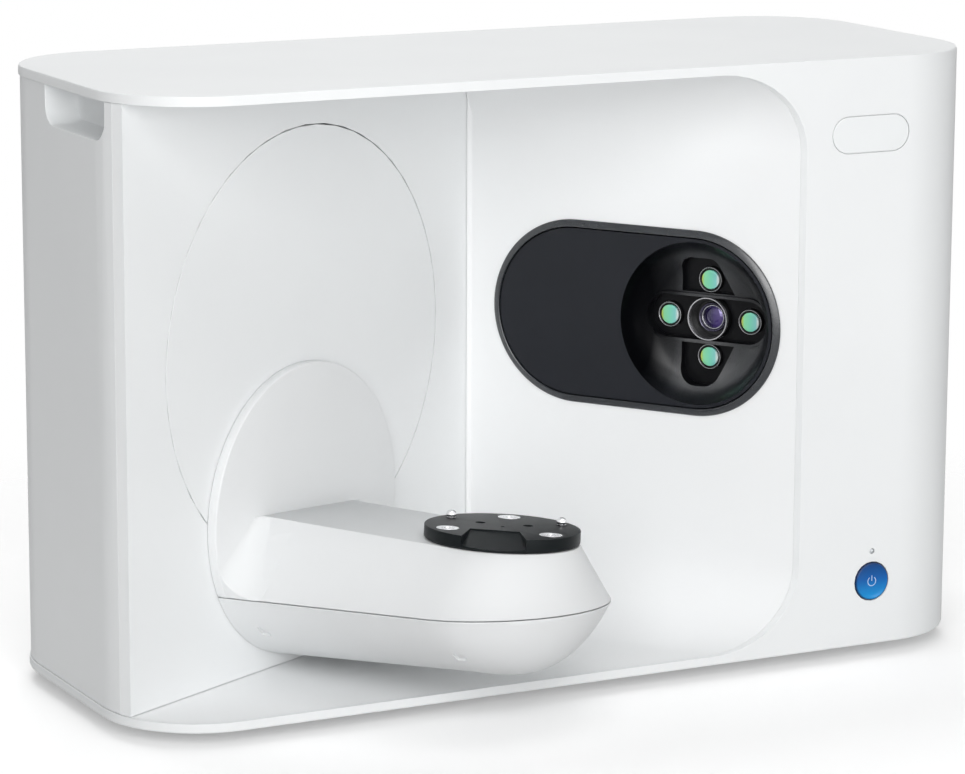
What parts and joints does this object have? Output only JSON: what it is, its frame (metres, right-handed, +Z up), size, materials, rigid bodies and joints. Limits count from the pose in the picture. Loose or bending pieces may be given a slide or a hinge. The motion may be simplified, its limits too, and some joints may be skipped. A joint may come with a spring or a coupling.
{
  "type": "desktop 3d scanner",
  "caption": "White desktop 3D scanner with an open corner-shaped chamber, a swinging arm that carries a black turntable, and a dark pill-shaped camera head round a projector.",
  "frame": {"origin": "middle of the bounding box, at the height of the ground under the feet", "axes": "+Z up, the front with the chamber and the button looks towards -Y, +X runs to the right along the width"},
  "size_m": [0.505, 0.2826, 0.334],
  "materials": {
    "white_casing": "smooth satin white moulding",
    "white_arm": "smooth satin white moulding",
    "bare_inlay": "clear-coated white inlay, left bare",
    "blue_button": "glossy blue cap",
    "clear_light_pipe": "milky light pipe",
    "dark_head": "dark blue-grey satin",
    "black_barrel": "black anodised look",
    "coated_glass": "green coated camera glass",
    "projector_glass": "purple coated projector glass",
    "bright_ring": "thin bright ring",
    "plate_black": "satin black coated plate",
    "steel": "turned steel",
    "polished_steel": "polished steel",
    "sheet_metal": "zinc-coated sheet",
    "motor_black": "black motor case",
    "rubber": "matt rubber",
    "board_green": "circuit board",
    "socket_black": "fine grained black plastic"
  },
  "bodies": {
    "casing": {"outer_frame": "white_casing", "chamber_shell": "white_casing", "left_wall": "white_casing", "left_cover": "white_casing", "right_cover": "white_casing", "rear_cover": "white_casing", "badge_inlay": "bare_inlay", "light_pipe": "clear_light_pipe", "head_bezel": "dark_head", "head_face": "dark_head", "camera_left": "black_barrel", "camera_right": "black_barrel", "camera_top": "black_barrel", "camera_bottom": "black_barrel", "projector_barrel": "black_barrel", "camera_lens_left": "coated_glass", "camera_lens_right": "coated_glass", "camera_lens_top": "coated_glass", "camera_lens_bottom": "coated_glass", "projector_lens": "projector_glass", "projector_ring": "bright_ring", "swing_bearing": "steel", "usb_socket": "steel", "chassis_plate": "sheet_metal", "swing_bracket": "sheet_metal", "head_bracket": "sheet_metal", "power_supply": "sheet_metal", "swing_motor": "motor_black", "foot_left_front": "rubber", "foot_left_rear": "rubber", "foot_right_front": "rubber", "foot_right_rear": "rubber", "swing_belt": "rubber", "control_board": "board_green", "main_board": "board_green", "power_inlet": "socket_black", "switch_housing": "socket_black", "fan_frame": "socket_black"},
    "power_button": {"power_button": "blue_button"},
    "swing_motor_pulley": {"swing_motor_pulley": "steel"},
    "arm": {"swing_disc": "white_arm", "swing_shaft": "steel", "swing_pulley": "steel", "arm_upper_shell": "white_arm", "arm_lower_shell": "white_arm", "turntable_bearing": "steel", "turntable_motor": "motor_black", "turntable_belt": "rubber"},
    "turntable_motor_pulley": {"turntable_motor_pulley": "steel"},
    "turntable": {"turntable_plate": "plate_black", "turntable_spindle": "steel", "turntable_pulley": "steel", "plate_insert_1": "polished_steel", "plate_insert_2": "polished_steel", "plate_insert_3": "polished_steel", "locating_pin_1": "polished_steel", "locating_pin_2": "polished_steel"},
    "fan_rotor": {"fan_rotor": "socket_black"},
    "rear_switch": {"rear_switch": "socket_black"}
  },
  "joints": [
    {"name": "swing_tilt", "type": "hinge", "parent": "casing", "child": "arm", "pos_m": [-0.11399, 0.03659, 0.18349], "axis": [0.4695, -0.8829, 0], "range_deg": [-45.2, 34.8]},
    {"name": "turntable_spin", "type": "hinge", "parent": "arm", "child": "turntable", "pos_m": [-0.0586, -0.083, 0.09718], "axis": [0.0739, 0.0393, 0.9965], "continuous": true},
    {"name": "swing_motor_spin", "type": "hinge", "parent": "casing", "child": "swing_motor_pulley", "pos_m": [-0.17226, 0.00561, 0.18349], "axis": [0.4695, -0.8829, 0], "range_deg": [-161, 124]},
    {"name": "turntable_motor_spin", "type": "hinge", "parent": "arm", "child": "turntable_motor_pulley", "pos_m": [-0.08112, -0.02521, 0.18349], "axis": [0.0739, 0.0393, 0.9965], "continuous": true},
    {"name": "power_button_press", "type": "slide", "parent": "casing", "child": "power_button", "axis": [0, 1, 0], "range_m": [0, 0.0015], "stiffness_N_per_m": 900, "springref_m": -0.001},
    {"name": "fan_spin", "type": "hinge", "parent": "casing", "child": "fan_rotor", "pos_m": [0.13, 0.1209, 0.258], "axis": [0, 1, 0], "continuous": true},
    {"name": "rear_switch_rock", "type": "hinge", "parent": "casing", "child": "rear_switch", "pos_m": [0.11, 0.1272, 0.046], "axis": [1, 0, 0], "range_deg": [-14, 0]}
  ],
  "couplings": [
    {"joint": "swing_motor_spin", "follows": "swing_tilt", "ratio": 3.5556},
    {"joint": "turntable_motor_spin", "follows": "turntable_spin", "ratio": 2}
  ]
}
